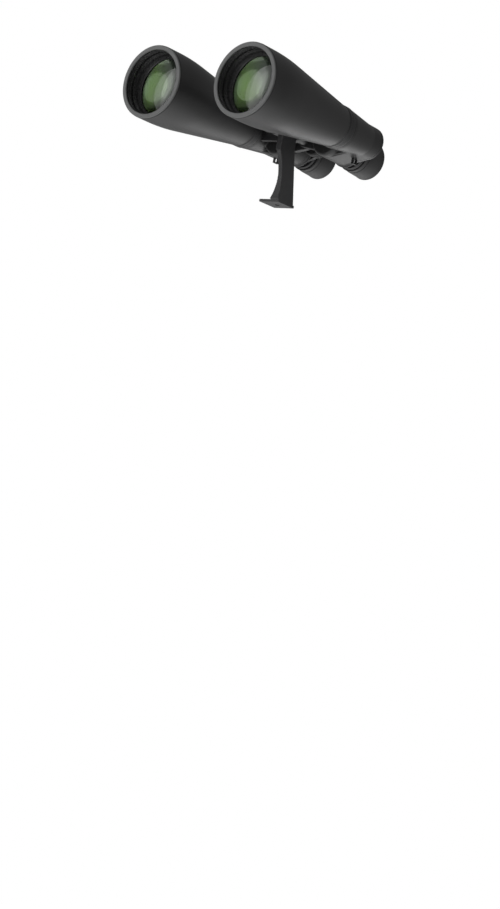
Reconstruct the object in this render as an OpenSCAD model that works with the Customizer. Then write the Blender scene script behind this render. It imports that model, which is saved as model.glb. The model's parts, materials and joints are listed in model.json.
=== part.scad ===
// Large Porro-prism binoculars on a clamp-on tripod adapter.
//
// Row frame: origin at the centre of the tripod thread on the adapter's underside,
// +X towards the user's left barrel, +Y towards the eyepieces, +Z up.
// Most modules draw in the optical frame: x = 0 between the barrels, y = 0 at the
// front bezels and z = 0 at the height of the two objective axes.

/* [Barrels] */
// Distance between the two objective axes
objective_spacing = 142.1; // [140:0.1:146]
// Clear aperture of each objective lens
aperture_d = 70; // [66:1:70]
// Radius of the armoured tube behind the front bezel
tube_front_r = 44.3; // [44:0.1:46]
// Radius of the armoured tube at its rear seam
tube_rear_r = 26.3; // [26:0.1:27]
// Length from the bezel face to the rear seam
tube_length = 170.9; // [168:0.1:171]
// Thickness of the rubber armour
armour_t = 1.2; // [0.8:0.1:1.4]
// Wall of the metal tubes
tube_wall = 1.6; // [1.2:0.1:2]

/* [Prisms] */
// Sideways step from the objective axis to the eyepiece axis
eyepiece_step = 33.65; // [33:0.05:34]
// Drop of the eyepiece axis below the objective axis
eyepiece_drop = 8.3; // [8:0.1:8.6]
// Half the length of a prism's long face
prism_reach = 24; // [23.5:0.1:24]
// Width of a prism
prism_w = 19; // [18:0.5:20]

/* [Eyepieces] */
// Outer radius of the eyecup at its rim
eyecup_r = 24.8; // [24.4:0.1:25.4]
// Distance from the bezel face to the eyecup rim
overall_length = 297.4; // [294:0.1:300]
// Radius of the sliding eyepiece tube
slide_r = 12.5; // [12:0.1:12.6]

/* [Centre hinge] */
// Drop of the hinge axis below the objective axes
hinge_drop = 5; // [4:0.1:6]
// Radius of the hinge axle
axle_r = 5; // [4.8:0.1:5.2]
// Radius of the hinge knuckles
knuckle_r = 10.5; // [9.5:0.1:11]
// Radius of the focus wheel over its rubber grip
wheel_r = 16; // [15:0.1:16]

/* [Tripod adapter] */
// Height of the objective axes above the adapter's underside
axis_height = 97; // [95:0.5:102]
// Distance of the tripod thread behind the bezel face
thread_y = 183; // [181:0.5:185]
// Width of the adapter's foot
foot_w = 30; // [30:0.5:34]
// Length of the adapter's foot
foot_length = 31; // [30:0.5:36]
// Thickness of the adapter's foot
foot_t = 3.3; // [3:0.1:4]
// Radius of the 1/4 inch tripod thread
thread_r = 3.175; // [3.1:0.005:3.2]

/* [Hidden] */
$fn = 96;

// Radial clearance of a turning or sliding fit
running = 0.05;
// Clearance between pieces that are screwed together
seat = 0.1;

// Axes of the light path across a barrel, [x, z] from the objective axis; x points outwards
objective_xz = [0, 0];
eyepiece_xz = [-eyepiece_step, -eyepiece_drop];
middle_xz = (eyepiece_xz + [eyepiece_xz[1], -eyepiece_xz[0]]) / 2;
hinge_xz = [-objective_spacing / 2, -hinge_drop];

// Stations along a barrel, measured back from the bezel face
bezel_t = 2.5;
retainer_y = 19.4;
lens_edge_y = 25.7;
cell_end_y = 38.5;
neck_end_y = 182.5;
housing_y = 182.7;
lobe_y = 203.7;
shoulder_y = 214;
shelf_y = 228.6;
shelf_t = 1.6;
housing_end_y = 246;
lip_y = 250.2;
cover_end_y = 252;
dome_end_y = 253.3;
arm_y = 254.3;
arm_t = 5;
flange_y = 259.4;
eyecup_y = 264.5;
body_end_y = 286;

// Radii inside the barrel
bore_r = 41;
cell_r = bore_r - seat;
lens_r = aperture_d / 2 + 1;
neck_r = 21.5;
light_r = 18.5;

// Lobes of the prism housing: radii round the objective, middle and eyepiece axes
lobe_r = [20.3, 16.8, 20];
lip_r = 21.6;

// Centre hinge stations
front_knuckle_y = 183;
rear_knuckle_y = 212;
knuckle_gap = 0.2;
front_knuckle_t = 5.9;
rear_knuckle_t = 6.9;
boss_y = 151.8;
boss_end_y = 178.2;
wheel_y = 229.2;
wheel_end_y = 245.2;
axle_end_y = 237;
screw_r = 3.2;
clamp_r = 3.1;

// ---------------------------------------------------------------- frames and helpers

// From the optical frame to the row frame
module optical_frame() {
  translate([0, -thread_y, axis_height]) children();
}

// A barrel's own frame: origin on its objective axis, x outwards; side is 1 or -1
module barrel_frame(side) {
  optical_frame()
    mirror([side < 0 ? 1 : 0, 0, 0])
      translate([objective_spacing / 2, 0, 0]) children();
}

// Moves to an axis across the barrel
module on_axis(xz) {
  translate([xz[0], 0, xz[1]]) children();
}

// A solid of revolution about +Y from [radius, y] points
module lathe(points) {
  rotate([-90, 0, 0]) rotate_extrude() polygon(points);
}

// A round rod along +Y
module rod(r, y0, y1) {
  translate([0, y0, 0]) rotate([-90, 0, 0]) cylinder(r = r, h = y1 - y0);
}

// A tube along +Y
module ring(r_out, r_in, y0, y1) {
  difference() {
    rod(r_out, y0, y1);
    rod(r_in, y0 - 1, y1 + 1);
  }
}

// A slab of an [x, z] outline between two stations along Y
module slab(y0, y1) {
  translate([0, y1, 0]) rotate([90, 0, 0]) linear_extrude(y1 - y0) children();
}

// A slab of a [y, z] outline between two stations along X
module side_slab(x0, x1) {
  translate([x0, 0, 0]) rotate([90, 0, 90]) linear_extrude(x1 - x0) children();
}

// The quadrilateral between the two outer tangents of two circles, a hair inside them
// so that its edges cross the circles cleanly
module tangent_web(a, ra, b, rb) {
  hair = 0.04;
  along = atan2(b[1] - a[1], b[0] - a[0]);
  spread = acos((ra - rb) / norm(b - a));
  up = [cos(along + spread), sin(along + spread)];
  down = [cos(along - spread), sin(along - spread)];
  polygon([a + (ra - hair) * up, b + (rb - hair) * up, b + (rb - hair) * down, a + (ra - hair) * down]);
}

module disc(xz, r) {
  translate(xz) circle(r = r);
}

// The rounded outline round two axes
module pair_outline(a, ra, b, rb) {
  disc(a, ra);
  disc(b, rb);
  tangent_web(a, ra, b, rb);
}

// The rounded outline round the three axes of the light path, drawn in by inset
module lobe_outline(inset) {
  r = [for (v = lobe_r) v - inset];
  pair_outline(objective_xz, r[0], middle_xz, r[1]);
  pair_outline(middle_xz, r[1], eyepiece_xz, r[2]);
  pair_outline(objective_xz, r[0], eyepiece_xz, r[2]);
  polygon([objective_xz, middle_xz, eyepiece_xz]);
}

// A lens between two spherical faces that bulge by front_sag and rear_sag at radius r;
// a negative sag is a hollow face. front_y and rear_y are the stations of the rim.
module lens(r, front_y, rear_y, front_sag, rear_sag) {
  front_radius = (r * r + front_sag * front_sag) / (2 * abs(front_sag));
  rear_radius = (r * r + rear_sag * rear_sag) / (2 * abs(rear_sag));
  difference() {
    intersection() {
      rod(r, front_y - max(front_sag, 0), rear_y + max(rear_sag, 0));
      if (front_sag > 0) {
        translate([0, front_y - front_sag + front_radius, 0]) sphere(r = front_radius, $fn = 256);
      }
      if (rear_sag > 0) {
        translate([0, rear_y + rear_sag - rear_radius, 0]) sphere(r = rear_radius, $fn = 256);
      }
    }
    if (front_sag < 0) {
      translate([0, front_y - front_sag - front_radius, 0]) sphere(r = front_radius, $fn = 256);
    }
  }
}

// ---------------------------------------------------------------- objective end

// Radius of the armoured tube at a station: a cylinder that eases into a cone
ease_y = 22;
cone_y = 62;
cone_slope = (tube_front_r - tube_rear_r) / (tube_length - (ease_y + cone_y) / 2);
function tube_r(y) =
  y < ease_y ? tube_front_r
  : y < cone_y ? tube_front_r - cone_slope * pow(y - ease_y, 2) / (2 * (cone_y - ease_y))
  : tube_front_r - cone_slope * (y - (ease_y + cone_y) / 2);
tube_stations = [bezel_t, ease_y, 30, 38, 46, 54, cone_y, tube_length];
tube_socket_y = 163;

module objective_tube() {
  color([0.16, 0.16, 0.17])
    lathe(concat(
      [for (y = tube_stations) [tube_r(y) - armour_t, y]],
      [
        [neck_r + seat, tube_length],
        [neck_r + seat, tube_socket_y],
        [tube_r(tube_socket_y) - armour_t - tube_wall, tube_socket_y - 2]
      ],
      [[tube_r(cone_y) - armour_t - tube_wall, cone_y], [bore_r - 2.5, 42], [bore_r, 40], [bore_r, bezel_t]]
    ));
}

module tube_armour() {
  n = len(tube_stations);
  color([0.07, 0.07, 0.075])
    lathe(concat(
      [for (y = tube_stations) [tube_r(y), y]],
      [for (i = [n - 1:-1:0]) [tube_r(tube_stations[i]) - armour_t, tube_stations[i]]]
    ));
}

// Satin ring that closes the front of the tube
module front_bezel() {
  color([0.3, 0.3, 0.31])
    lathe([
      [38.7, 0.5], [39.2, 0], [43.5, 0], [44, 0.5], [44.1, bezel_t - 0.1], [38.7, bezel_t - 0.1]
    ]);
}

// Blackened sleeve with fine anti-glare ribs in front of the lens
module dew_baffle() {
  rib_pitch = 1.4;
  rib_first = 4;
  rib_count = 10;
  color([0.05, 0.05, 0.05])
    difference() {
      ring(cell_r, 38.9, bezel_t, retainer_y - seat);
      for (i = [0:rib_count - 1]) {
        ring_y = rib_first + i * rib_pitch;
        lathe([[38, ring_y], [38.9, ring_y], [39.7, ring_y + 0.35], [38.9, ring_y + 0.7], [38, ring_y + 0.7]]);
      }
    }
}

module objective_cell() {
  color([0.12, 0.12, 0.12])
    lathe([
      [39, retainer_y], [cell_r, retainer_y], [cell_r, cell_end_y], [aperture_d / 2 - 0.3, cell_end_y],
      [aperture_d / 2 - 0.3, cell_end_y - 1.5], [lens_r + seat, cell_end_y - 1.5],
      [lens_r + seat, lens_edge_y - 0.1], [39, lens_edge_y - 0.1]
    ]);
}

module lens_retainer() {
  color([0.1, 0.1, 0.1])
    lathe([
      [38.2, retainer_y], [38.9, retainer_y], [38.9, lens_edge_y - 0.2],
      [aperture_d / 2, lens_edge_y - 0.2], [aperture_d / 2, lens_edge_y - 2.2]
    ]);
}

module front_lens() {
  color([0.35, 0.6, 0.4, 0.6]) lens(lens_r, lens_edge_y + 0.1, lens_edge_y + 3.1, 3.8, 5);
}

module second_lens() {
  color([0.5, 0.65, 0.5, 0.6]) lens(lens_r, lens_edge_y + 3.4, cell_end_y - 4.6, -5, 3);
}

// Threaded ring that joins the tube to the prism housing
module neck_ring() {
  color([0.09, 0.09, 0.095])
    lathe([
      [light_r, tube_socket_y + 1], [neck_r, tube_socket_y + 1], [neck_r, tube_length + 0.2],
      [tube_rear_r - 0.4, tube_length + 0.2], [tube_rear_r + 0.2, tube_length + 0.9],
      [tube_rear_r + 0.2, neck_end_y - 0.7], [tube_rear_r - 0.5, neck_end_y],
      [neck_r, neck_end_y], [neck_r, neck_end_y + 4.6], [light_r, neck_end_y + 4.6]
    ]);
}

// ---------------------------------------------------------------- prism housing

collar_end_y = 188;
collar_r = 25.4;

// A dome over two axes. rings holds [y, radius round a, radius round b] from the open end to
// the closed end, which faces the direction sense along Y. inset draws the dome in,
// and lap pushes its open end back.
module dome(a, b, rings, sense, inset, lap) {
  last = len(rings) - 1;
  hull() {
    for (k = [1, 2]) {
      on_axis(k == 1 ? a : b)
        rotate([-90, 0, 0])
          rotate_extrude($fn = 40)
            polygon(concat(
              [[0, rings[0][0] - sense * lap], [rings[0][k] - inset, rings[0][0] - sense * lap]],
              [for (i = [1:last]) [rings[i][k] - inset, rings[i][0] - sense * inset]],
              [[0, rings[last][0] - sense * inset]]
            ));
    }
  }
}

// Front dome of the housing, over the front prism
front_rings = [
  [shoulder_y + 3, lobe_r[2] - 0.05, lobe_r[1] - 0.05],
  [shoulder_y, lobe_r[2] - 0.1, lobe_r[1] - 1.2],
  [209, lobe_r[2] - 0.1, 12.5],
  [206.5, lobe_r[2] - 0.3, 11],
  [204.7, lobe_r[2] - 1.2, 9.5],
  [lobe_y, lobe_r[2] - 2.6, 8]
];

// Outer form of the prism housing, drawn in by inset on every side
module housing_form(inset) {
  lathe([
    [0, housing_y], [collar_r - 0.7 - inset, housing_y], [collar_r - inset, housing_y + 0.8],
    [collar_r - inset, collar_end_y], [lobe_r[0] - inset, 231],
    [lobe_r[0] - inset, housing_end_y], [0, housing_end_y]
  ]);
  slab(shoulder_y + inset, housing_end_y) lobe_outline(inset);
  dome(eyepiece_xz, middle_xz, front_rings, -1, inset, 2);
  slab(shoulder_y - 2 + inset, housing_end_y)
    pair_outline(objective_xz, lobe_r[0] - inset, eyepiece_xz, lobe_r[2] - 2 - inset);
}

// The two arms that reach from a barrel's housing to its hinge knuckles;
// the right barrel's knuckles stand behind the left barrel's
function knuckle_shift(side, t) = side > 0 ? 0 : t + knuckle_gap;

module hinge_arms(side) {
  front_y = front_knuckle_y + knuckle_shift(side, front_knuckle_t);
  rear_y = rear_knuckle_y + knuckle_shift(side, rear_knuckle_t);
  slab(front_y, front_y + front_knuckle_t) pair_outline(hinge_xz, knuckle_r, objective_xz, 14);
  slab(rear_y, rear_y + rear_knuckle_t) pair_outline(hinge_xz, knuckle_r, eyepiece_xz, 14);
}

// The space inside the prism housing
module housing_cavity() {
  rod(neck_r + seat, housing_y - 1, neck_end_y + 4.8);
  rod(light_r, housing_y, shelf_y);
  dome(eyepiece_xz, middle_xz, front_rings, -1, armour_t + 1, shelf_y - shoulder_y - 3);
  slab(shelf_y, housing_end_y + 1) lobe_outline(2.9);
}

module prism_housing(side) {
  color([0.11, 0.11, 0.115])
    difference() {
      union() {
        housing_form(armour_t);
        difference() {
          hinge_arms(side);
          rod(light_r + 2, 0, 300);
        }
      }
      housing_cavity();
      on_axis(hinge_xz) rod(axle_r + running, 100, 300);
    }
}

module housing_armour(side) {
  color([0.07, 0.07, 0.075])
    difference() {
      housing_form(0);
      housing_form(armour_t);
      rod(collar_r - armour_t, 100, collar_end_y);
      hinge_arms(side);
    }
}

// ---------------------------------------------------------------- prisms

prism_apex_cut = 3;
clip_t = 0.5;
clip_w = 5;

// Direction angle of the line between two axes
function turn(a, b) = -atan2(b[1] - a[1], b[0] - a[0]);

// Draws between two axes, long side along the line that joins them
module between(a, b) {
  on_axis((a + b) / 2) rotate([0, turn(a, b), 0]) children();
}

// A Porro prism with its long face at y = 0, its roof towards +Y and rounded ends
module porro_prism() {
  intersection() {
    rod(prism_reach - 1, 0, prism_reach);
    translate([0, 0, -prism_w / 2])
      linear_extrude(prism_w)
        polygon([
          [-prism_reach, 0], [prism_reach, 0],
          [prism_apex_cut, prism_reach - prism_apex_cut], [-prism_apex_cut, prism_reach - prism_apex_cut]
        ]);
  }
}

// Spring strap that bends over a prism's roof
module prism_clip() {
  gap = 0.1;
  apex = prism_reach - prism_apex_cut + gap;
  translate([0, 0, -clip_w / 2])
    linear_extrude(clip_w)
      polygon([
        [-(prism_reach + gap), 0], [-(prism_apex_cut + 0.2), apex], [prism_apex_cut + 0.2, apex],
        [prism_reach + gap, 0], [prism_reach + gap + clip_t, 0],
        [prism_apex_cut + clip_t, apex + clip_t], [-(prism_apex_cut + clip_t), apex + clip_t],
        [-(prism_reach + gap + clip_t), 0]
      ]);
}

// Places a rear prism piece on the shelf
module behind_shelf() {
  translate([0, shelf_y + shelf_t + seat, 0]) between(objective_xz, middle_xz) children();
}

// Places a front prism piece under the shelf, turned over
module before_shelf() {
  translate([0, shelf_y - seat, 0]) between(middle_xz, eyepiece_xz) mirror([0, 1, 0]) children();
}

module front_prism() {
  color([0.75, 0.85, 0.88, 0.5]) before_shelf() porro_prism();
}

module rear_prism() {
  color([0.75, 0.85, 0.88, 0.5]) behind_shelf() porro_prism();
}

module prism_clips() {
  color([0.6, 0.6, 0.62]) {
    before_shelf() prism_clip();
    behind_shelf() prism_clip();
  }
}

module prism_shelf() {
  color([0.4, 0.4, 0.42])
    difference() {
      slab(shelf_y, shelf_y + shelf_t) lobe_outline(3);
      for (xz = [objective_xz, middle_xz, eyepiece_xz]) {
        on_axis(xz) rod(prism_w / 2 - 1, shelf_y - 1, shelf_y + shelf_t + 1);
      }
    }
}

// ---------------------------------------------------------------- rear cover

// Rear dome of the cover, over the rear prism
rear_rings = [
  [housing_end_y + 0.2, lobe_r[0] - 0.4, lobe_r[1] - 0.4],
  [248.4, 18.7, 15.2],
  [250.4, 17.2, 13.8],
  [251.9, 15.4, 12.3],
  [252.8, 13.8, 10.9],
  [dome_end_y, 12.2, 9.3]
];

module rear_cover() {
  color([0.08, 0.08, 0.085])
    difference() {
      union() {
        dome(objective_xz, middle_xz, rear_rings, 1, 0, 0);
        slab(housing_end_y + 0.2, lip_y) lobe_outline(0.2);
        on_axis(eyepiece_xz)
          lathe([
            [0, lip_y - 1], [lobe_r[2] - 0.2, lip_y - 1], [lip_r - 0.3, lip_y],
            [lip_r, lip_y + 0.3], [lip_r, cover_end_y - 0.3], [lip_r - 0.3, cover_end_y], [0, cover_end_y]
          ]);
      }
      dome(objective_xz, middle_xz, rear_rings, 1, 1.2, 1);
      on_axis(eyepiece_xz) rod(slide_r + running, 200, 300);
    }
}

// ---------------------------------------------------------------- strap lug

lug_x = -9.7;
lug_y = 238;
lug_slot_top = -23.9;
lug_slot = [5.4, 4.3];
lug_bar = 1.3;
lug_t = 3.4;

// Staple-shaped loop for the neck strap, standing on the underside of the housing
module strap_lug() {
  color([0.1, 0.1, 0.1])
    difference() {
      translate([lug_x - lug_t / 2, lug_y - lug_slot[0] / 2 - lug_bar, lug_slot_top - lug_slot[1] - lug_bar])
        cube([lug_t, lug_slot[0] + 2 * lug_bar, lug_slot[1] + lug_bar + 3]);
      translate([lug_x - lug_t, lug_y - lug_slot[0] / 2, lug_slot_top - lug_slot[1]])
        cube([2 * lug_t, lug_slot[0], lug_slot[1] + 4]);
      housing_form(-0.02);
    }
}

// ---------------------------------------------------------------- eyepieces

neck_tube_r = 14;
neck_tube_y = 255.6;
ocular_r = 20;
lens_bore_r = 13.4;
tube_bore_r = 11.2;

// Eyepiece barrel; the left one has a fixed flange where the right one has the dioptre ring
module eyepiece_tube(side) {
  flange = side > 0
    ? [[neck_tube_r, flange_y], [20.4, flange_y], [21.2, eyecup_y - 0.2]]
    : [[neck_tube_r, eyecup_y - 0.1], [ocular_r, eyecup_y - 0.1]];
  color([0.1, 0.1, 0.1])
    on_axis(eyepiece_xz)
      lathe(concat(
        [[tube_bore_r, 236], [slide_r, 236], [slide_r, neck_tube_y], [neck_tube_r, neck_tube_y]],
        flange,
        [
          [ocular_r, eyecup_y - 0.1], [ocular_r, body_end_y], [15.6, body_end_y],
          [15.6, body_end_y - 3], [lens_bore_r, body_end_y - 3], [lens_bore_r, 274],
          [tube_bore_r, 272]
        ]
      ));
}

// Arm of the focus bridge: half-lapped round the hub's neck at its inner end
module bridge_arm(side) {
  arm_waist_r = 4.5;
  lap_y = side > 0 ? arm_y : arm_y + arm_t / 2 + 0.1;
  lap_t = arm_t / 2 - 0.1;
  color([0.09, 0.09, 0.095])
    difference() {
      union() {
        difference() {
          slab(arm_y, arm_y + arm_t) pair_outline(hinge_xz, arm_waist_r, eyepiece_xz, 17.5);
          on_axis(hinge_xz) rod(9.5, 200, 300);
        }
        slab(lap_y, lap_y + lap_t) {
          disc(hinge_xz, 9);
          intersection() {
            pair_outline(hinge_xz, arm_waist_r, eyepiece_xz, 17.5);
            disc(hinge_xz, 12);
          }
        }
      }
      on_axis(hinge_xz) rod(6 + running, 200, 300);
      on_axis(eyepiece_xz) rod(neck_tube_r + running, 200, 300);
    }
}

module field_lens() {
  color([0.7, 0.8, 0.85, 0.5]) on_axis(eyepiece_xz) lens(tube_bore_r - 0.05, 240, 243, 0.6, 2.5);
}

module field_stop() {
  color([0.05, 0.05, 0.05]) on_axis(eyepiece_xz) ring(tube_bore_r - 0.05, 8.5, 251, 252.2);
}

module eye_lens() {
  color([0.45, 0.5, 0.65, 0.5]) on_axis(eyepiece_xz) lens(lens_bore_r - 0.05, 276.5, 280.5, 2, 2.3);
}

module eye_lens_ring() {
  color([0.08, 0.08, 0.08])
    on_axis(eyepiece_xz)
      lathe([
        [12.2, body_end_y - 3 + 0.05], [15.5, body_end_y - 3 + 0.05], [15.5, body_end_y - 0.2], [14, body_end_y - 0.2]
      ]);
}

// Rubber eyecup with a grip ring at its base and a flared, rounded rim
module eyecup() {
  rim_t = 1.6;
  color([0.05, 0.05, 0.055])
    on_axis(eyepiece_xz)
      lathe([
        [ocular_r + seat, eyecup_y], [22.2, eyecup_y], [22.5, eyecup_y + 0.4], [22.5, 269.8],
        [22.1, 270.1], [22.1, 270.6], [22.9, 271], [23.4, 276], [eyecup_r - 0.7, 291],
        [eyecup_r, overall_length - 1], [eyecup_r - 0.6, overall_length - 0.2], [eyecup_r - 1, overall_length],
        [eyecup_r - rim_t, overall_length - 0.6], [eyecup_r - rim_t - 1, 292], [20.6, body_end_y + 1.6],
        [16.4, body_end_y + 1.2], [16.4, body_end_y + 0.1], [ocular_r + seat, body_end_y + 0.1]
      ]);
}

// Ring that turns on the right eyepiece to set the dioptre correction
module dioptre_ring() {
  groove_count = 40;
  color([0.08, 0.08, 0.085])
    on_axis(eyepiece_xz)
      difference() {
        lathe([
          [neck_tube_r + running, flange_y + 0.2], [20.4, flange_y + 0.2],
          [21, flange_y + 3.6], [neck_tube_r + running, flange_y + 3.6]
        ]);
        for (i = [0:groove_count - 1]) {
          rotate([0, i * 360 / groove_count, 0])
            translate([21.2, 0, 0]) rod(0.6, flange_y, flange_y + 5, $fn = 24);
        }
      }
}

// ---------------------------------------------------------------- centre hinge and focus

module on_hinge() {
  optical_frame() translate([0, 0, -hinge_drop]) children();
}

// Steel spindle: threaded socket for the clamp screw in front, bore for the focus screw behind
module hinge_axle() {
  color([0.6, 0.6, 0.62])
    on_hinge()
      difference() {
        union() {
          rod(axle_r, 170, axle_end_y);
          rod(9, boss_end_y + 0.1, front_knuckle_y - knuckle_gap);
        }
        rod(clamp_r + seat, 169, 190);
        rod(screw_r + seat, 202, axle_end_y + 1);
      }
}

// Sleeve and washer on the axle between the knuckles and the focus wheel
module hinge_spacers() {
  sleeve_y = front_knuckle_y + 2 * front_knuckle_t + 2 * knuckle_gap;
  washer_y = rear_knuckle_y + 2 * rear_knuckle_t + 2 * knuckle_gap;
  color([0.15, 0.15, 0.15])
    on_hinge() {
      ring(8.5, axle_r + running, sleeve_y, rear_knuckle_y - knuckle_gap);
      ring(8.5, axle_r + running, washer_y, wheel_y - knuckle_gap);
    }
}

// Focus wheel: turns on the axle's end and its nut drives the focus screw
module focus_wheel() {
  color([0.13, 0.13, 0.135])
    on_hinge()
      lathe([
        [axle_r + running, wheel_y], [wheel_r - 1.2, wheel_y], [wheel_r - 1.2, wheel_y + 0.9],
        [wheel_r - 1.8, wheel_y + 0.9], [wheel_r - 1.8, wheel_end_y - 0.9],
        [wheel_r - 1.2, wheel_end_y - 0.9], [wheel_r - 1.2, wheel_end_y],
        [screw_r + running, wheel_end_y], [screw_r + running, axle_end_y + 0.5], [axle_r + running, axle_end_y + 0.5]
      ]);
}

module focus_wheel_grip() {
  groove_count = 36;
  color([0.04, 0.04, 0.04])
    on_hinge()
      difference() {
        ring(wheel_r, wheel_r - 1.75, wheel_y + 1, wheel_end_y - 1);
        for (i = [0:groove_count - 1]) {
          rotate([0, i * 360 / groove_count, 0])
            translate([wheel_r + 0.2, 0, 0]) rod(0.7, wheel_y, wheel_end_y, $fn = 24);
        }
      }
}

module focus_screw() {
  color([0.75, 0.6, 0.3]) on_hinge() rod(screw_r, 206, arm_y - 0.3);
}

module bridge_hub() {
  color([0.09, 0.09, 0.095])
    on_hinge()
      difference() {
        union() {
          rod(9, 249, arm_y - 0.2);
          rod(6, 249, flange_y + 0.1);
        }
        rod(screw_r + 0.02, 248, arm_y - 0.2);
      }
}

module bridge_cap() {
  color([0.09, 0.09, 0.095])
    on_hinge()
      lathe([
        [0, flange_y + 0.2], [8.6, flange_y + 0.2], [8.6, flange_y + 1.4], [8, flange_y + 2.2],
        [6, flange_y + 2.9], [0, flange_y + 3.2]
      ]);
}

// ---------------------------------------------------------------- tripod adapter

// Flat outer face of the leg, and its thickness at the middle, the head and the root
leg_face_x = foot_w / 2;
leg_t = 6;
head_t = 8;
root_t = 12.6;
head_z = -36;
waist_z = -55;
boss_r = 12;
foot_front_y = 166;
foot_top_z = foot_t - axis_height;
// Radius of the hollow front edge, and of the flare that thickens the leg towards its root
hollow_r = 79;
flare_h = waist_z - foot_top_z;
flare_r = (pow(flare_h, 2) + pow(root_t - leg_t, 2)) / (2 * (root_t - leg_t));

// Outline of the leg from the side: an upright head, a hollow front edge and a raked rear edge
module leg_side() {
  difference() {
    polygon([
      [boss_y, boss_r - hinge_drop], [boss_end_y, boss_r - hinge_drop], [boss_end_y, -28],
      [foot_front_y + foot_length - 2, foot_top_z], [foot_front_y - 2, foot_top_z], [boss_y, head_z]
    ]);
    translate([85.9, -80.2]) circle(r = hollow_r, $fn = 192);
  }
}

// Outline of the leg from the front: flat outside, flared inside towards the root
module leg_front() {
  difference() {
    translate([leg_face_x - root_t, foot_top_z - 0.1]) square([root_t, boss_r - hinge_drop - foot_top_z + 0.1]);
    translate([leg_face_x - root_t - 1, head_z]) square([root_t + 1 - head_t, 100]);
    translate([leg_face_x - root_t - 1, waist_z]) square([root_t + 1 - leg_t, head_z - waist_z]);
    translate([leg_face_x - leg_t - flare_r, waist_z]) circle(r = flare_r, $fn = 256);
  }
}

module adapter_bracket() {
  thread_boss_h = 7;
  color([0.17, 0.17, 0.175])
    optical_frame()
      difference() {
        union() {
          intersection() {
            side_slab(leg_face_x - root_t, leg_face_x) leg_side();
            slab(boss_y - 1, foot_front_y + foot_length + 1) leg_front();
          }
          translate([0, 0, -hinge_drop]) rod(boss_r, boss_y, boss_end_y);
          translate([0, boss_y, -hinge_drop - boss_r]) cube([leg_face_x, boss_end_y - boss_y, 2 * boss_r]);
          translate([-foot_w / 2, foot_front_y, -axis_height]) cube([foot_w, foot_length, foot_t]);
          translate([0, thread_y, -axis_height]) cylinder(r = 6.5, h = thread_boss_h);
        }
        translate([0, thread_y, -axis_height - 1]) cylinder(r = thread_r, h = thread_boss_h + 2);
        translate([0, 0, -hinge_drop]) {
          rod(axle_r + 0.1, 169, 300);
          rod(clamp_r + 0.5, 100, 170);
        }
      }
}

module clamp_screw() {
  color([0.6, 0.6, 0.62]) on_hinge() rod(clamp_r, 136, 188);
}

// Hand knob that draws the adapter against the axle's collar
module clamp_knob() {
  knob_r = 13;
  knob_y = 131;
  scallop_count = 8;
  color([0.06, 0.06, 0.06])
    on_hinge()
      difference() {
        lathe([
          [0, knob_y], [knob_r - 1.5, knob_y], [knob_r, knob_y + 1.5], [knob_r, knob_y + 14],
          [knob_r - 1.5, knob_y + 15.5], [7, knob_y + 16], [7, boss_y - 0.3], [0, boss_y - 0.3]
        ]);
        rod(clamp_r + 0.02, 135.8, 200);
        for (i = [0:scallop_count - 1]) {
          rotate([0, i * 360 / scallop_count, 0])
            translate([knob_r + 2, 0, 0]) rod(3.4, knob_y - 1, knob_y + 20, $fn = 48);
        }
      }
}

// ---------------------------------------------------------------- nodes

adapter_bracket();
hinge_axle();
hinge_spacers();
clamp_knob();
clamp_screw();
focus_wheel();
focus_wheel_grip();
focus_screw();
bridge_hub();
bridge_cap();
barrel_frame(1) objective_tube();  // objective_tube_left
barrel_frame(-1) objective_tube();  // objective_tube_right
barrel_frame(1) tube_armour();  // tube_armour_left
barrel_frame(-1) tube_armour();  // tube_armour_right
barrel_frame(1) front_bezel();  // front_bezel_left
barrel_frame(-1) front_bezel();  // front_bezel_right
barrel_frame(1) dew_baffle();  // dew_baffle_left
barrel_frame(-1) dew_baffle();  // dew_baffle_right
barrel_frame(1) objective_cell();  // objective_cell_left
barrel_frame(-1) objective_cell();  // objective_cell_right
barrel_frame(1) front_lens();  // front_lens_left
barrel_frame(-1) front_lens();  // front_lens_right
barrel_frame(1) second_lens();  // second_lens_left
barrel_frame(-1) second_lens();  // second_lens_right
barrel_frame(1) lens_retainer();  // lens_retainer_left
barrel_frame(-1) lens_retainer();  // lens_retainer_right
barrel_frame(1) neck_ring();  // neck_ring_left
barrel_frame(-1) neck_ring();  // neck_ring_right
barrel_frame(1) prism_housing(1);  // prism_housing_left
barrel_frame(-1) prism_housing(-1);  // prism_housing_right
barrel_frame(1) housing_armour(1);  // housing_armour_left
barrel_frame(-1) housing_armour(-1);  // housing_armour_right
barrel_frame(1) front_prism();  // front_prism_left
barrel_frame(-1) front_prism();  // front_prism_right
barrel_frame(1) rear_prism();  // rear_prism_left
barrel_frame(-1) rear_prism();  // rear_prism_right
barrel_frame(1) prism_shelf();  // prism_shelf_left
barrel_frame(-1) prism_shelf();  // prism_shelf_right
barrel_frame(1) prism_clips();  // prism_clips_left
barrel_frame(-1) prism_clips();  // prism_clips_right
barrel_frame(1) rear_cover();  // rear_cover_left
barrel_frame(-1) rear_cover();  // rear_cover_right
barrel_frame(1) strap_lug();  // strap_lug_left
barrel_frame(-1) strap_lug();  // strap_lug_right
barrel_frame(1) bridge_arm(1);  // bridge_arm_left
barrel_frame(-1) bridge_arm(-1);  // bridge_arm_right
barrel_frame(1) eyepiece_tube(1);  // eyepiece_tube_left
barrel_frame(-1) eyepiece_tube(-1);  // eyepiece_tube_right
barrel_frame(1) field_lens();  // field_lens_left
barrel_frame(-1) field_lens();  // field_lens_right
barrel_frame(1) field_stop();  // field_stop_left
barrel_frame(-1) field_stop();  // field_stop_right
barrel_frame(1) eye_lens();  // eye_lens_left
barrel_frame(-1) eye_lens();  // eye_lens_right
barrel_frame(1) eye_lens_ring();  // eye_lens_ring_left
barrel_frame(-1) eye_lens_ring();  // eye_lens_ring_right
barrel_frame(1) eyecup();  // eyecup_left
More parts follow.
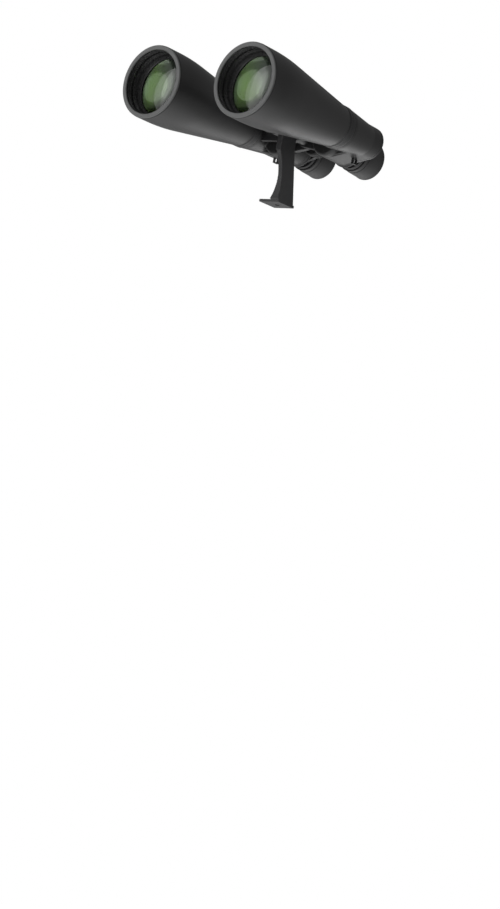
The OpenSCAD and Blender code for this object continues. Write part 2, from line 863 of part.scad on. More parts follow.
barrel_frame(-1) eyecup();  // eyecup_right
barrel_frame(-1) dioptre_ring();
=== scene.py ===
import json
import math

import bmesh
import bpy
from mathutils import Matrix, Vector


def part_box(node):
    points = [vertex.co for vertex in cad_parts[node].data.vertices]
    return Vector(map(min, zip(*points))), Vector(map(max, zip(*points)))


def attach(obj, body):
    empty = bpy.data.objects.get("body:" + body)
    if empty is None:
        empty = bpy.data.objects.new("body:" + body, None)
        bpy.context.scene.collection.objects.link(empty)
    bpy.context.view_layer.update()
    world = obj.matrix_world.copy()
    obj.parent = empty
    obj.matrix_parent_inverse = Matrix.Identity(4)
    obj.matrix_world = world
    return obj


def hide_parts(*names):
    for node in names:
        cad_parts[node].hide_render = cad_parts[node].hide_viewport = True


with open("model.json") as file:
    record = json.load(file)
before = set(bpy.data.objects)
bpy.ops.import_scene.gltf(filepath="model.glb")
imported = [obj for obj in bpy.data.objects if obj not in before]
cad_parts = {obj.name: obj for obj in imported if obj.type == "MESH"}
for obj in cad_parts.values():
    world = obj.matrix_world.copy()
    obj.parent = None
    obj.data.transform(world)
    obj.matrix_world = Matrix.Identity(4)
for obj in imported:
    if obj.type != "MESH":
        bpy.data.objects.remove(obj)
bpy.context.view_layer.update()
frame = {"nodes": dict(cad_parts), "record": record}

MM = 0.001
BODY_OF = {n: b for b, ns in frame["record"]["behaviour"]["bodies"].items() for n in ns}
SLOT_OF = {s["node"]: s["material_slot"] for s in frame["record"]["subparts"]}
SIDES = ("left", "right")


def axis_of(node):
    """(x, z) in metres of the axis that a turned node was built round."""
    lo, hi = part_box(node)
    return (lo.x + hi.x) / 2, (lo.z + hi.z) / 2


# Stations along Y are in millimetres behind the front rings.
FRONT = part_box("front_bezel_left")[0].y
BARREL = {s: axis_of(f"front_bezel_{s}") for s in SIDES}
OCULAR = {s: axis_of(f"eyecup_{s}") for s in SIDES}
HINGE = axis_of("hinge_spacers")


# ---------------------------------------------------------------- studio

scene = bpy.context.scene
scene.view_settings.view_transform = "Standard"

camera = bpy.data.objects.new("camera", bpy.data.cameras.new("camera"))
scene.collection.objects.link(camera)
camera.data.lens = 75.25
camera.data.sensor_width = 36
camera.data.clip_start = 0.01
camera.location = (1.46601, -1.75423, -0.43947)
camera.rotation_mode = "QUATERNION"
camera.rotation_quaternion = (0.6215485, 0.7052696, 0.1792890, 0.2900478)
scene.camera = camera

world = bpy.data.worlds.new("studio")
scene.world = world
world.use_nodes = True
nt = world.node_tree
nt.nodes.clear()
out = nt.nodes.new("ShaderNodeOutputWorld")
coord = nt.nodes.new("ShaderNodeTexCoord")
split = nt.nodes.new("ShaderNodeSeparateXYZ")
ramp = nt.nodes.new("ShaderNodeValToRGB")
fit = nt.nodes.new("ShaderNodeMapRange")
soft = nt.nodes.new("ShaderNodeBackground")
white = nt.nodes.new("ShaderNodeBackground")
path = nt.nodes.new("ShaderNodeLightPath")
mix = nt.nodes.new("ShaderNodeMixShader")
fit.inputs["From Min"].default_value = -1
# World brightness from straight down (0) to straight up (1).
stops = [(0.0, 1.0), (0.2, 0.5), (0.36, 0.33), (0.5, 0.3), (0.75, 0.22), (1.0, 0.24)]
ramp.color_ramp.elements[0].position = stops[0][0]
ramp.color_ramp.elements[0].color = (stops[0][1],) * 3 + (1,)
ramp.color_ramp.elements[1].position = stops[-1][0]
ramp.color_ramp.elements[1].color = (stops[-1][1],) * 3 + (1,)
for place, value in stops[1:-1]:
    ramp.color_ramp.elements.new(place).color = (value, value, value, 1)
white.inputs["Color"].default_value = (1, 1, 1, 1)
nt.links.new(coord.outputs["Generated"], split.inputs[0])
nt.links.new(split.outputs["Z"], fit.inputs["Value"])
nt.links.new(fit.outputs[0], ramp.inputs[0])
nt.links.new(ramp.outputs[0], soft.inputs["Color"])
nt.links.new(path.outputs["Is Camera Ray"], mix.inputs[0])
nt.links.new(soft.outputs[0], mix.inputs[1])
nt.links.new(white.outputs[0], mix.inputs[2])
nt.links.new(mix.outputs[0], out.inputs["Surface"])


def softbox(name, place, target, size, power):
    data = bpy.data.lights.new(name, "AREA")
    data.shape = "DISK"
    data.size = size
    data.energy = power
    lamp = bpy.data.objects.new(name, data)
    scene.collection.objects.link(lamp)
    lamp.location = place
    lamp.visible_camera = False
    lamp.rotation_mode = "QUATERNION"
    lamp.rotation_quaternion = (Vector(target) - Vector(place)).to_track_quat("-Z", "Y")


softbox("side_box", (-2.5, -1.9, 0.6), (0, 0, 0.08), 2.6, 13.5)
softbox("front_box", (-0.7, -3.0, 0.7), (0, 0, 0.08), 3.5, 27)
softbox("low_back_box", (-0.38, 1.15, -0.32), (0, 0.05, 0.08), 0.6, 1.5)


# ---------------------------------------------------------------- materials


def surface(name, dark, light, rough, grain, depth, patch=22, metallic=0.0, spec=0.5,
            coat=0.0, sheen=0.0, wear=None, cells=False, stretch=None):
    """A moulded, painted or machined finish: drifting colour, grain in relief and gloss, and worn edges."""
    m = bpy.data.materials.new(name)
    m.use_nodes = True
    tree = m.node_tree
    tree.nodes.clear()
    new, link = tree.nodes.new, tree.links.new
    output = new("ShaderNodeOutputMaterial")
    bsdf = new("ShaderNodeBsdfPrincipled")
    link(bsdf.outputs[0], output.inputs[0])
    where = new("ShaderNodeTexCoord")
    place = new("ShaderNodeMapping")
    place.inputs["Scale"].default_value = stretch or (1, 1, 1)
    link(where.outputs["Object"], place.inputs["Vector"])
    drift = new("ShaderNodeTexNoise")
    drift.inputs["Scale"].default_value = patch
    drift.inputs["Detail"].default_value = 5
    link(where.outputs["Object"], drift.inputs["Vector"])
    if cells:
        fine = new("ShaderNodeTexVoronoi")
        fine.feature = "SMOOTH_F1"
        fine.inputs["Scale"].default_value = grain
        height = fine.outputs["Distance"]
    else:
        fine = new("ShaderNodeTexNoise")
        fine.inputs["Scale"].default_value = grain
        fine.inputs["Detail"].default_value = 3
        height = fine.outputs[0]
    link(place.outputs[0], fine.inputs["Vector"])
    shade = new("ShaderNodeValToRGB")
    shade.color_ramp.elements[0].position = 0.3
    shade.color_ramp.elements[0].color = (*dark, 1)
    shade.color_ramp.elements[1].position = 0.7
    shade.color_ramp.elements[1].color = (*light, 1)
    link(drift.outputs[0], shade.inputs[0])
    speck = new("ShaderNodeMix")
    speck.data_type = "RGBA"
    speck.blend_type = "OVERLAY"
    speck.inputs["Factor"].default_value = 0.35
    link(shade.outputs[0], speck.inputs[6])
    grey = new("ShaderNodeMapRange")
    grey.inputs["To Min"].default_value = 0.3
    grey.inputs["To Max"].default_value = 0.7
    link(height, grey.inputs["Value"])
    link(grey.outputs[0], speck.inputs[7])
    colour = speck.outputs[2]
    if wear:
        edges = new("ShaderNodeNewGeometry")
        sharp = new("ShaderNodeMapRange")
        sharp.inputs["From Min"].default_value = 0.53
        sharp.inputs["From Max"].default_value = 0.62
        link(edges.outputs["Pointiness"], sharp.inputs["Value"])
        patchy = new("ShaderNodeMath")
        patchy.operation = "MULTIPLY"
        link(sharp.outputs[0], patchy.inputs[0])
        link(drift.outputs[0], patchy.inputs[1])
        worn = new("ShaderNodeMix")
        worn.data_type = "RGBA"
        link(patchy.outputs[0], worn.inputs["Factor"])
        link(colour, worn.inputs[6])
        worn.inputs[7].default_value = (*wear, 1)
        colour = worn.outputs[2]
    link(colour, bsdf.inputs["Base Color"])
    both = new("ShaderNodeMath")
    both.operation = "ADD"
    link(drift.outputs[0], both.inputs[0])
    link(height, both.inputs[1])
    gloss = new("ShaderNodeMapRange")
    gloss.inputs["From Min"].default_value = 0.6
    gloss.inputs["From Max"].default_value = 1.4
    gloss.inputs["To Min"].default_value = rough[0]
    gloss.inputs["To Max"].default_value = rough[1]
    link(both.outputs[0], gloss.inputs["Value"])
    link(gloss.outputs[0], bsdf.inputs["Roughness"])
    bump = new("ShaderNodeBump")
    bump.inputs["Strength"].default_value = 0.7
    bump.inputs["Distance"].default_value = depth
    link(height, bump.inputs["Height"])
    link(bump.outputs[0], bsdf.inputs["Normal"])
    bsdf.inputs["Metallic"].default_value = metallic
    bsdf.inputs["Specular IOR Level"].default_value = spec
    bsdf.inputs["Coat Weight"].default_value = coat
    bsdf.inputs["Coat Roughness"].default_value = 0.12
    bsdf.inputs["Sheen Weight"].default_value = sheen
    bsdf.inputs["Sheen Roughness"].default_value = 0.6
    return m


def clear_glass(name):
    """The front element: polished glass with a faint coating."""
    m = bpy.data.materials.new(name)
    m.use_nodes = True
    tree = m.node_tree
    new, link = tree.nodes.new, tree.links.new
    bsdf = tree.nodes["Principled BSDF"]
    where = new("ShaderNodeTexCoord")
    smear = new("ShaderNodeTexNoise")
    smear.inputs["Scale"].default_value = 35
    smear.inputs["Detail"].default_value = 3
    link(where.outputs["Object"], smear.inputs["Vector"])
    haze = new("ShaderNodeMapRange")
    haze.inputs["From Min"].default_value = 0.4
    haze.inputs["From Max"].default_value = 0.8
    haze.inputs["To Min"].default_value = 0.0
    haze.inputs["To Max"].default_value = 0.006
    link(smear.outputs[0], haze.inputs["Value"])
    link(haze.outputs[0], bsdf.inputs["Roughness"])
    tint = new("ShaderNodeValToRGB")
    tint.color_ramp.elements[0].color = (0.94, 1.0, 0.95, 1)
    tint.color_ramp.elements[1].color = (1.0, 1.0, 1.0, 1)
    link(smear.outputs[0], tint.inputs[0])
    link(tint.outputs[0], bsdf.inputs["Base Color"])
    bsdf.inputs["Transmission Weight"].default_value = 1.0
    bsdf.inputs["IOR"].default_value = 1.5
    bsdf.inputs["Specular IOR Level"].default_value = 0.08
    return m


def glass_with_painted_reflection(name, stops, start, spacing):
    """A coated inner element: a faint mirror over the dark bore, with a painted reflection in its colour,
    green near one rim shading to grey across the face in X.

    start shifts the ramp and spacing is the distance between the barrels, both in metres.
    """
    m = bpy.data.materials.new(name)
    m.use_nodes = True
    tree = m.node_tree
    new, link = tree.nodes.new, tree.links.new
    bsdf = tree.nodes["Principled BSDF"]
    where = new("ShaderNodeTexCoord")
    drift = new("ShaderNodeTexNoise")
    drift.inputs["Scale"].default_value = 30
    drift.inputs["Detail"].default_value = 1
    link(where.outputs["Object"], drift.inputs["Vector"])
    split = new("ShaderNodeSeparateXYZ")
    link(where.outputs["Object"], split.inputs[0])
    # Both barrels' glass starts the same painted-reflection ramp at its own inner or outer rim.
    across = new("ShaderNodeMath")
    across.operation = "ADD"
    across.inputs[1].default_value = start
    link(split.outputs["X"], across.inputs[0])
    wrapped = new("ShaderNodeMath")
    wrapped.operation = "FLOORED_MODULO"
    wrapped.inputs[1].default_value = spacing
    link(across.outputs[0], wrapped.inputs[0])
    swirl = new("ShaderNodeMath")
    swirl.operation = "MULTIPLY_ADD"
    swirl.inputs[1].default_value = 0.03
    link(drift.outputs[0], swirl.inputs[0])
    link(wrapped.outputs[0], swirl.inputs[2])
    share = new("ShaderNodeMapRange")
    share.inputs["From Min"].default_value = 0.012
    share.inputs["From Max"].default_value = 0.08
    link(swirl.outputs[0], share.inputs["Value"])
    # Painted reflection: this ramp paints a green-to-grey reflection into the base colour.
    tint = new("ShaderNodeValToRGB")
    for place, colour in stops:
        tint.color_ramp.elements.new(place).color = (*colour, 1)
    tint.color_ramp.elements.remove(tint.color_ramp.elements[0])
    tint.color_ramp.elements.remove(tint.color_ramp.elements[-1])
    link(share.outputs[0], tint.inputs[0])
    link(tint.outputs[0], bsdf.inputs["Base Color"])
    haze = new("ShaderNodeMapRange")
    haze.inputs["To Min"].default_value = 0.2
    haze.inputs["To Max"].default_value = 0.28
    link(drift.outputs[0], haze.inputs["Value"])
    link(haze.outputs[0], bsdf.inputs["Roughness"])
    bsdf.inputs["Metallic"].default_value = 0.95
    return m


BARREL_SPACING = BARREL["left"][0] - BARREL["right"][0]
# Offset in metres where the painted reflection ramp starts on each lens.
PAINTED_REFLECTION_START = 0.036
M = {
    "rubber_armour": surface("rubber_armour", (0.009, 0.009, 0.0092), (0.014, 0.014, 0.0143), (0.38, 0.5),
        1500, 4e-5,
                             spec=0.5, sheen=0.02, cells=True, patch=30),
    "eyecup_rubber": surface("eyecup_rubber", (0.012, 0.012, 0.0125), (0.018, 0.018, 0.0185), (0.5, 0.62),
        900, 4e-5,
                             spec=0.42, sheen=0.1, patch=40),
    "bezel_satin": surface("bezel_satin", (0.11, 0.112, 0.111), (0.14, 0.142, 0.141), (0.36, 0.5), 2200, 3e-5,
                           patch=60, spec=0.5, wear=(0.3, 0.3, 0.3)),
    "body_paint": surface("body_paint", (0.012, 0.012, 0.0125), (0.018, 0.018, 0.019), (0.34, 0.46),
        1100, 3e-5,
                          spec=0.5, wear=(0.08, 0.08, 0.08)),
    "inner_black": surface("inner_black", (0.01, 0.01, 0.0105), (0.016, 0.016, 0.0165), (0.22, 0.32),
        1400, 1e-5,
                           patch=80, spec=0.6, coat=0.35),
    "tube_metal": surface("tube_metal", (0.16, 0.16, 0.165), (0.22, 0.22, 0.225), (0.35, 0.5),
        900, 2e-5, metallic=0.9),
    "bracket_paint": surface("bracket_paint", (0.028, 0.028, 0.029), (0.038, 0.038, 0.039), (0.4, 0.54),
        1300, 5e-5,
                             cells=True, spec=0.5, wear=(0.16, 0.16, 0.16)),
    "knob_plastic": surface("knob_plastic", (0.012, 0.012, 0.012), (0.018, 0.018, 0.018), (0.38, 0.5),
        1200, 3e-5,
                            spec=0.5, wear=(0.05, 0.05, 0.05)),
    "steel": surface("steel", (0.55, 0.55, 0.54), (0.68, 0.68, 0.67), (0.18, 0.32), 500, 8e-6, metallic=1.0,
                     stretch=(1, 14, 1)),
    "brass": surface("brass", (0.52, 0.38, 0.16), (0.66, 0.5, 0.24), (0.22, 0.36), 500, 8e-6, metallic=1.0,
                     stretch=(1, 14, 1)),
    "objective_glass": clear_glass("objective_glass"),
    # Painted reflection: these stops paint a green-to-grey reflection across each lens, fixed to the glass.
    "optical_glass": glass_with_painted_reflection("optical_glass", [
        (0.02, (0.13, 0.2, 0.1)), (0.2, (0.105, 0.185, 0.045)), (0.36, (0.1, 0.155, 0.062)),
        (0.6, (0.1, 0.122, 0.09)),
        (0.98, (0.1, 0.112, 0.095))], BARREL_SPACING * 1.5 + PAINTED_REFLECTION_START, BARREL_SPACING),
}


# ---------------------------------------------------------------- mesh builders


def rounded(profile, closed, steps=4):
    """A profile of (radius, station[, fillet]) with its filleted corners turned into arcs."""
    n = len(profile)
    pts = [Vector(p[:2]) for p in profile]
    made = []
    for i, p in enumerate(pts):
        r = profile[i][2] if len(profile[i]) > 2 else 0
        if not r or (not closed and i in (0, n - 1)):
            made.append(p)
            continue
        before, after = pts[i - 1], pts[(i + 1) % n]
        back, ahead = before - p, after - p
        cut = min(r, back.length * 0.48, ahead.length * 0.48)
        a, b = p + back.normalized() * cut, p + ahead.normalized() * cut
        for k in range(steps + 1):
            t = k / steps
            made.append(a * (1 - t) ** 2 + p * (2 * t * (1 - t)) + b * t * t)
    return made


def mesh_object(name, bm, weighted=True):
    bmesh.ops.remove_doubles(bm, verts=bm.verts, dist=1e-7)
    bmesh.ops.recalc_face_normals(bm, faces=bm.faces)
    data = bpy.data.meshes.new(name)
    bm.to_mesh(data)
    bm.free()
    for face in data.polygons:
        face.use_smooth = True
    obj = bpy.data.objects.new(name, data)
    scene.collection.objects.link(obj)
    if weighted:
        obj.modifiers.new("normals", "WEIGHTED_NORMAL").keep_sharp = True
    return obj


def turn_into(bm, axis, profile, closed=True, segs=160, shape=None):
    """Adds a body of revolution to bm. shape(theta, radius, station) may change a point's radius."""
    pts = rounded(profile, closed)
    rings = []
    for r, y in pts:
        if r < 1e-6:
            rings.append([bm.verts.new((axis[0], FRONT + y * MM, axis[1]))])
            continue
        ring = []
        for k in range(segs):
            t = 2 * math.pi * k / segs
            q = (shape(t, r, y) if shape else r) * MM
            ring.append(bm.verts.new((axis[0] + q * math.cos(t), FRONT + y * MM, axis[1] + q * math.sin(t))))
        rings.append(ring)
    pairs = list(zip(rings, rings[1:] + rings[:1])) if closed else list(zip(rings, rings[1:]))
    for a, b in pairs:
        if len(a) == 1 and len(b) == 1:
            continue
        for k in range(segs):
            j = (k + 1) % segs
            corners = [a[k % len(a)], a[j % len(a)], b[j % len(b)], b[k % len(b)]]
            unique = []
            for v in corners:
                if v not in unique:
                    unique.append(v)
            bm.faces.new(unique)


def done(obj, node):
    """Gives a piece its finish, its body and its record slot, in place of that CAD node."""
    obj.data.materials.append(M[SLOT_OF[node]])
    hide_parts(node)
    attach(obj, BODY_OF[node])
    return obj


def turned(node, axis, profile, closed=True, segs=160, shape=None):
    bm = bmesh.new()
    turn_into(bm, axis, profile, closed, segs, shape)
    return done(mesh_object(node + "_fine", bm), node)


def cast(node, voxel, smooth):
    """The CAD node's form with the soft, rounded edges of a casting or a moulding."""
    bm = bmesh.new()
    bm.from_mesh(frame["nodes"][node].data)
    raw = mesh_object(node + "_raw", bm, weighted=False)
    remesh = raw.modifiers.new("remesh", "REMESH")
    remesh.mode = "VOXEL"
    remesh.voxel_size = voxel * MM
    ease = raw.modifiers.new("ease", "SMOOTH")
    ease.factor = 0.5
    ease.iterations = smooth
    evaluated = raw.evaluated_get(bpy.context.evaluated_depsgraph_get())
    bm = bmesh.new()
    bm.from_mesh(evaluated.to_mesh())
    evaluated.to_mesh_clear()
    bpy.data.objects.remove(raw)
    return done(mesh_object(node + "_fine", bm, weighted=False), node)


# ---------------------------------------------------------------- barrels


def armour_radius(y):
    """Radius of the armoured tube at a station: a straight front, an easing shoulder and a long cone."""
    front, ease_a, ease_b, end = 44.3, 22.0, 62.0, 170.9
    slope = (41.51 - 26.3) / (end - ease_b)
    if y <= ease_a:
        return front
    if y <= ease_b:
        return front - slope * (y - ease_a) ** 2 / (2 * (ease_b - ease_a))
    return front - slope * (ease_b - ease_a) / 2 - slope * (y - ease_b)


def teeth(count, depth, share=0.5):
    """Radial change of a ring of rounded teeth."""
    def change(t):
        wave = 0.5 + 0.5 * math.cos(count * t)
        return -depth * (1 - min(1.0, wave / share) ** 0.6)
    return change


for s in SIDES:
    axis = BARREL[s]

    stations = [y for y in [4.6 + 4.15 * k for k in range(40)] if y < 167]
    skin = [(43.15, 2.5, 0.1), (44.0, 2.5, 0.35), (44.3, 2.9, 0.2), (44.3, 3.5)]
    skin += [(armour_radius(y), y) for y in stations]
    lip = armour_radius(169.2)
    skin += [(armour_radius(167.4), 167.4), (lip + 0.12, 168.2), (lip + 0.1, 169.9, 0.3),
             (armour_radius(170.9) - 0.4, 170.9, 0.3), (25.15, 170.9)]
    skin += [(armour_radius(y) - 1.15, y) for y in reversed(stations)]
    turned(f"tube_armour_{s}", axis, skin, segs=192)

    turned(f"front_bezel_{s}", axis, [
        (38.72, 2.4), (38.72, 0.7, 0.3), (39.25, 0.1, 0.3), (40.0, 0.0, 0.1), (42.5, 0.0, 0.2),
        (43.6, 0.05, 0.5),
        (44.05, 0.8, 0.4), (44.1, 1.5), (43.7, 2.4)], segs=192)

    grooves = []
    y = 3.4
    while y < 18.6:
        if not 8.4 < y < 12.2:
            grooves += [(38.95, y, 0.1), (38.95, y + 0.28, 0.1), (39.75, y + 0.52), (38.95, y + 0.76, 0.1)]
        y += 0.95
    knurl = teeth(96, 0.75)
    inner = [p for p in grooves if p[1] < 8.6] + [(39.4, 8.9), (38.75, 9.3, 0.15), (38.75, 11.3, 0.15),
        (39.4, 11.7)]
    inner += [p for p in grooves if p[1] > 11.9]
    turned(f"dew_baffle_{s}", axis, [(40.9, 2.5), (38.95, 2.5, 0.2)] + inner + [(38.95, 19.3),
        (40.9, 19.3)], segs=576,
           shape=lambda t, r, y: r - knurl(t) if 9.0 < y < 11.6 and r < 39.0 else r)

    turned(f"lens_retainer_{s}", axis, [
        (38.2, 19.4, 0.15), (38.85, 19.4, 0.1), (38.85, 25.5), (35.0, 25.5), (35.0, 23.9, 0.15),
        (35.6, 23.1, 0.2),
        (35.95, 23.1, 0.2), (36.2, 22.0, 0.2), (36.7, 22.0, 0.2), (36.95, 20.9, 0.2),
        (37.5, 20.9, 0.2)], segs=192)

    turned(f"neck_ring_{s}", axis, [
        (18.5, 164.0), (21.5, 164.0, 0.3), (21.5, 171.1), (25.4, 171.1, 0.3), (25.95, 171.7, 0.3),
        (26.5, 172.6, 0.5),
        (26.5, 176.2, 0.15), (26.2, 176.5, 0.1), (26.5, 176.8, 0.15), (26.5, 181.2, 0.4), (25.8, 182.4, 0.4),
        (21.5, 182.5), (21.5, 187.1), (18.5, 187.1)], segs=192)


def glass(node, axis, radius, front_y, front_sag, rear_y, rear_sag, rim=0.25):
    """A lens with spherical faces. A sag is how far a face bulges at its middle; a negative one is hollow."""
    def face(y, sag, sense):
        big = (radius ** 2 + sag ** 2) / (2 * abs(sag))
        steps = 26
        pts = []
        for k in range(steps + 1):
            r = radius * k / steps
            drop = big - math.sqrt(big ** 2 - r ** 2)
            pts.append((r, y - sense * math.copysign(abs(sag) - drop, sag)))
        return pts
    front = face(front_y, front_sag, 1)
    rear = face(rear_y, rear_sag, -1)
    front[-1] = (radius, front_y, rim)
    rear[-1] = (radius, rear_y, rim)
    turned(node, axis, front + rear[::-1], closed=False, segs=160)


for s in SIDES:
    lo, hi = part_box(f"front_lens_{s}")
    r = (hi.x - lo.x) / 2 / MM
    glass(f"front_lens_{s}", BARREL[s], r - 0.02, 25.55, 3.5, 28.5, 5.2)
    glass(f"second_lens_{s}", BARREL[s], r - 0.02, 29.1, -5.2, 33.9, 3.0)


# ---------------------------------------------------------------- prism housings

for s in SIDES:
    cast(f"housing_armour_{s}", 0.55, 3)
    cast(f"prism_housing_{s}", 0.6, 2)
    cast(f"rear_cover_{s}", 0.45, 3)
    cast(f"strap_lug_{s}", 0.25, 3)
    cast(f"bridge_arm_{s}", 0.4, 2)


# ---------------------------------------------------------------- eyepieces

for s in SIDES:
    axis = OCULAR[s]
    bore = [(20.0, 286.0, 0.2), (15.6, 286.0), (15.6, 283.0), (13.4, 283.0), (13.4, 274.0), (11.2, 272.0),
            (11.2, 236.0), (12.5, 236.0, 0.3), (12.5, 255.6), (14.0, 255.6, 0.3)]
    if s == "left":
        flange = [(14.0, 259.4), (20.3, 259.4, 0.3), (20.45, 260.2, 0.2), (20.65, 261.0, 0.15),
            (20.45, 261.3, 0.1),
                  (20.75, 261.6, 0.15), (21.1, 263.7, 0.4), (20.6, 264.3, 0.2), (20.0, 264.4)]
    else:
        flange = [(14.0, 264.4), (19.9, 264.4, 0.2), (20.0, 264.6)]
    turned(f"eyepiece_tube_{s}", axis, bore + flange, segs=160)

    turned(f"eyecup_{s}", axis, [
        (20.1, 264.5), (22.0, 264.5, 0.4), (22.5, 265.0, 0.4), (22.5, 269.6, 0.35), (22.1, 269.9, 0.1),
        (22.1, 270.5, 0.1),
        (22.75, 270.8, 0.3), (22.95, 271.4, 0.3), (23.4, 276.0, 1.0), (23.75, 283.5, 1.0), (24.1, 291.0, 1.0),
        (24.6, 294.9, 0.8), (24.8, 296.3, 0.7), (24.2, 297.3, 0.6), (23.6, 297.4, 0.4), (22.9, 296.2, 0.8),
        (22.0, 291.5, 1.5), (21.3, 289.0, 1.2), (20.4, 287.5, 0.8), (18.2, 287.2, 0.2), (16.4, 287.0, 0.4),
        (16.4, 286.1),
        (20.1, 286.1)], segs=160)

    turned(f"eye_lens_ring_{s}", axis, [
        (12.2, 283.05), (15.5, 283.05), (15.5, 285.6, 0.2), (14.6, 285.8, 0.2), (14.0, 285.7, 0.15),
        (13.75, 285.2, 0.1),
        (13.4, 285.1, 0.15), (13.1, 284.5, 0.1), (12.75, 284.4, 0.15), (12.3, 283.6, 0.15)], segs=128)
    glass(f"eye_lens_{s}", axis, 13.33, 276.5, 2.0, 280.5, 2.25)

ribs = teeth(60, 0.32)
turned("dioptre_ring", OCULAR["right"], [
    (14.05, 259.6), (20.2, 259.6, 0.2), (20.4, 259.9, 0.1), (20.75, 260.9, 0.1), (20.9, 262.4, 0.1),
    (20.7, 262.9, 0.1),
    (19.9, 263.0), (14.05, 263.0)], segs=480, shape=lambda t, r, y: r + ribs(t) if r > 20.45 else r)


# ---------------------------------------------------------------- centre hinge and focus


def threaded(node, axis, radius, y0, y1, pitch, depth, segs=48):
    """A screw thread: a rod whose radius follows a helix."""
    bm = bmesh.new()
    per_turn = 10
    rows = int((y1 - y0) / pitch * per_turn)
    rings = []
    for i in range(rows + 1):
        y = y0 + (y1 - y0) * i / rows
        ease = min(1.0, (y - y0) / pitch, (y1 - y) / pitch)
        ring = []
        for k in range(segs):
            t = 2 * math.pi * k / segs
            phase = ((y - y0) / pitch + k / segs) % 1.0
            r = (radius - depth * (0.5 + 0.5 * math.cos(2 * math.pi * phase)) ** 1.5 - depth * (1 - ease)) * MM
            ring.append(bm.verts.new((axis[0] + r * math.cos(t), FRONT + y * MM, axis[1] + r * math.sin(t))))
        rings.append(ring)
    for a, b in zip(rings, rings[1:]):
        for k in range(segs):
            j = (k + 1) % segs
            bm.faces.new((a[k], a[j], b[j], b[k]))
    bm.faces.new(rings[0])
    bm.faces.new(rings[-1])
    return done(mesh_object(node + "_fine", bm), node)


threaded("clamp_screw", HINGE, 3.09, 136.0, 188.0, 1.5, 0.45)
threaded("focus_screw", HINGE, 3.19, 206.0, 254.0, 1.6, 0.4)

turned("hinge_axle", HINGE, [
    (3.2, 170.0), (5.0, 170.0, 0.4), (5.0, 178.3, 0.1), (8.6, 178.3, 0.3), (9.0, 178.8, 0.3),
    (9.0, 182.3, 0.3),
    (8.6, 182.8, 0.3), (5.0, 182.8), (5.0, 237.0, 0.3), (3.3, 237.0), (3.3, 202.0), (0.0, 202.0),
    (0.0, 190.0), (3.2, 190.0)],
    segs=96)

bm = bmesh.new()
spacer_verts = frame["nodes"]["hinge_spacers"].data.vertices
node_ys = sorted({round((v.co.y - FRONT) / MM, 2) for v in spacer_verts})
spans = [(node_ys[0], node_ys[1]), (node_ys[-2], node_ys[-1])]
for y0, y1 in spans:
    turn_into(bm, HINGE, [(5.06, y0), (8.1, y0, 0.2), (8.5, y0 + 0.5, 0.2), (8.5, y1 - 0.5, 0.2),
        (8.1, y1, 0.2),
                          (5.06, y1)], segs=96)
done(mesh_object("hinge_spacers_fine", bm), "hinge_spacers")

turned("focus_wheel", HINGE, [
    (5.05, 229.2), (8.5, 229.2, 0.3), (9.0, 229.8, 0.3), (13.0, 229.8, 0.3), (13.4, 229.2, 0.2),
    (14.6, 229.2, 0.3),
    (14.8, 229.5, 0.1), (14.8, 230.1), (14.2, 230.1), (14.2, 244.3), (14.8, 244.3), (14.8, 244.9, 0.1),
    (14.6, 245.2, 0.3),
    (13.4, 245.2, 0.2), (12.9, 244.6, 0.3), (7.0, 244.6, 0.4), (6.5, 245.2, 0.3), (3.25, 245.2),
    (3.25, 237.5),
    (5.05, 237.5)], segs=128)
grip = teeth(44, 0.75)
turned("focus_wheel_grip", HINGE, [
    (14.25, 230.2), (15.3, 230.2, 0.2), (15.8, 230.8, 0.3), (16.0, 231.6, 0.3), (16.0, 234.8, 0.2),
    (15.2, 235.3, 0.2),
    (15.2, 236.1, 0.2), (16.0, 236.6, 0.2), (16.0, 237.9, 0.2), (15.2, 238.4, 0.2), (15.2, 239.2, 0.2),
    (16.0, 239.7, 0.2),
    (16.0, 242.8, 0.3), (15.8, 243.6, 0.3), (15.3, 244.2, 0.2), (14.25, 244.2)], segs=440,
    shape=lambda t, r, y: r + grip(t) if r > 15.4 else r)

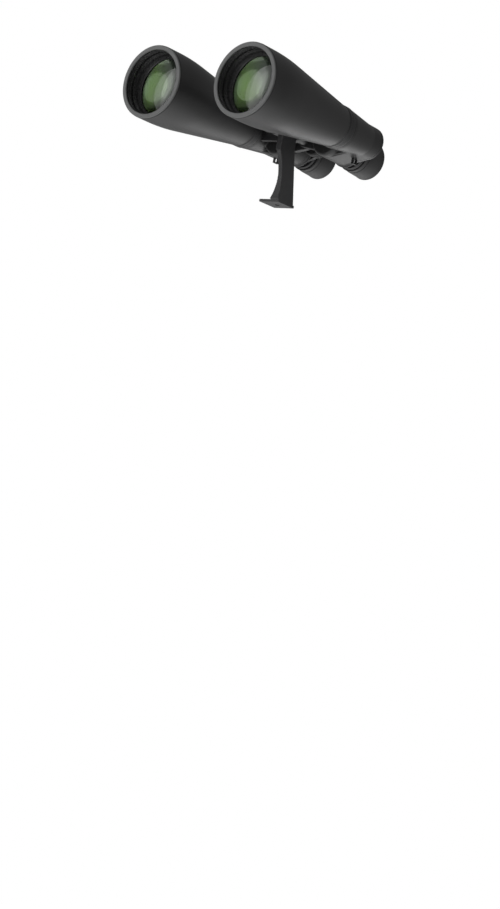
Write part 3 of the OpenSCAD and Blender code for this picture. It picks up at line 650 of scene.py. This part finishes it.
turned("bridge_hub", HINGE, [
    (3.22, 249.0), (8.6, 249.0, 0.3), (9.0, 249.5, 0.2), (9.0, 254.1, 0.1), (6.0, 254.1), (6.0, 259.5),
    (0.0, 259.5),
    (0.0, 254.1), (3.22, 254.1)], segs=128)
turned("bridge_cap", HINGE, [
    (0.0, 259.6), (8.3, 259.6, 0.2), (8.6, 260.0, 0.2), (8.6, 260.9, 0.4), (8.1, 261.5, 0.5),
    (6.4, 262.1, 0.8),
    (3.3, 262.5, 0.3), (3.0, 262.2, 0.2), (0.0, 262.2)], closed=False, segs=128)

flutes = 12
turned("clamp_knob", HINGE, [
    (3.12, 135.8), (0.0, 135.8), (0.0, 131.4), (7.6, 131.3, 0.3), (8.2, 131.0, 0.3), (11.2, 131.0, 0.5),
    (12.4, 131.7, 0.8),
    (13.0, 133.2, 0.8), (13.0, 144.6, 0.8), (12.4, 146.1, 0.8), (11.2, 146.9, 0.5), (9.2, 147.4, 0.6),
    (7.4, 148.4, 0.8),
    (7.0, 151.5, 0.3), (3.12, 151.5)], segs=384,
    shape=lambda t, r, y: r - (1.1 * max(0.0,
        math.cos(flutes * t)) ** 1.6 if 131.5 < y < 146.6 and r > 11.3 else 0.0))

cast("adapter_bracket", 0.5, 1)


# ---------------------------------------------------------------- kept CAD pieces

for name, node in frame["nodes"].items():
    if name.startswith(("objective_tube", "objective_cell", "front_prism", "rear_prism", "prism_shelf",
                        "prism_clips", "field_lens", "field_stop")):
        node.data.materials.clear()
        node.data.materials.append(M[SLOT_OF[name]])


# ---------------------------------------------------------------- floor

FLOOR_Z = -1.25
FLOOR_RADIUS = 1.9
bm = bmesh.new()
bmesh.ops.create_circle(bm, cap_ends=True, radius=FLOOR_RADIUS, segments=96)
floor_mesh = bpy.data.meshes.new("floor")
bm.to_mesh(floor_mesh)
bm.free()
floor = bpy.data.objects.new("floor", floor_mesh)
scene.collection.objects.link(floor)
floor.location = (0, 0, FLOOR_Z)
pale = bpy.data.materials.new("pale_floor")
pale.use_nodes = True
shader = pale.node_tree.nodes["Principled BSDF"]
shader.inputs["Base Color"].default_value = (0.82, 0.82, 0.82, 1)
shader.inputs["Roughness"].default_value = 0.8
shader.inputs["Emission Color"].default_value = (1, 1, 1, 1)
shader.inputs["Emission Strength"].default_value = 0.85
floor_mesh.materials.append(pale)

bpy.context.view_layer.update()
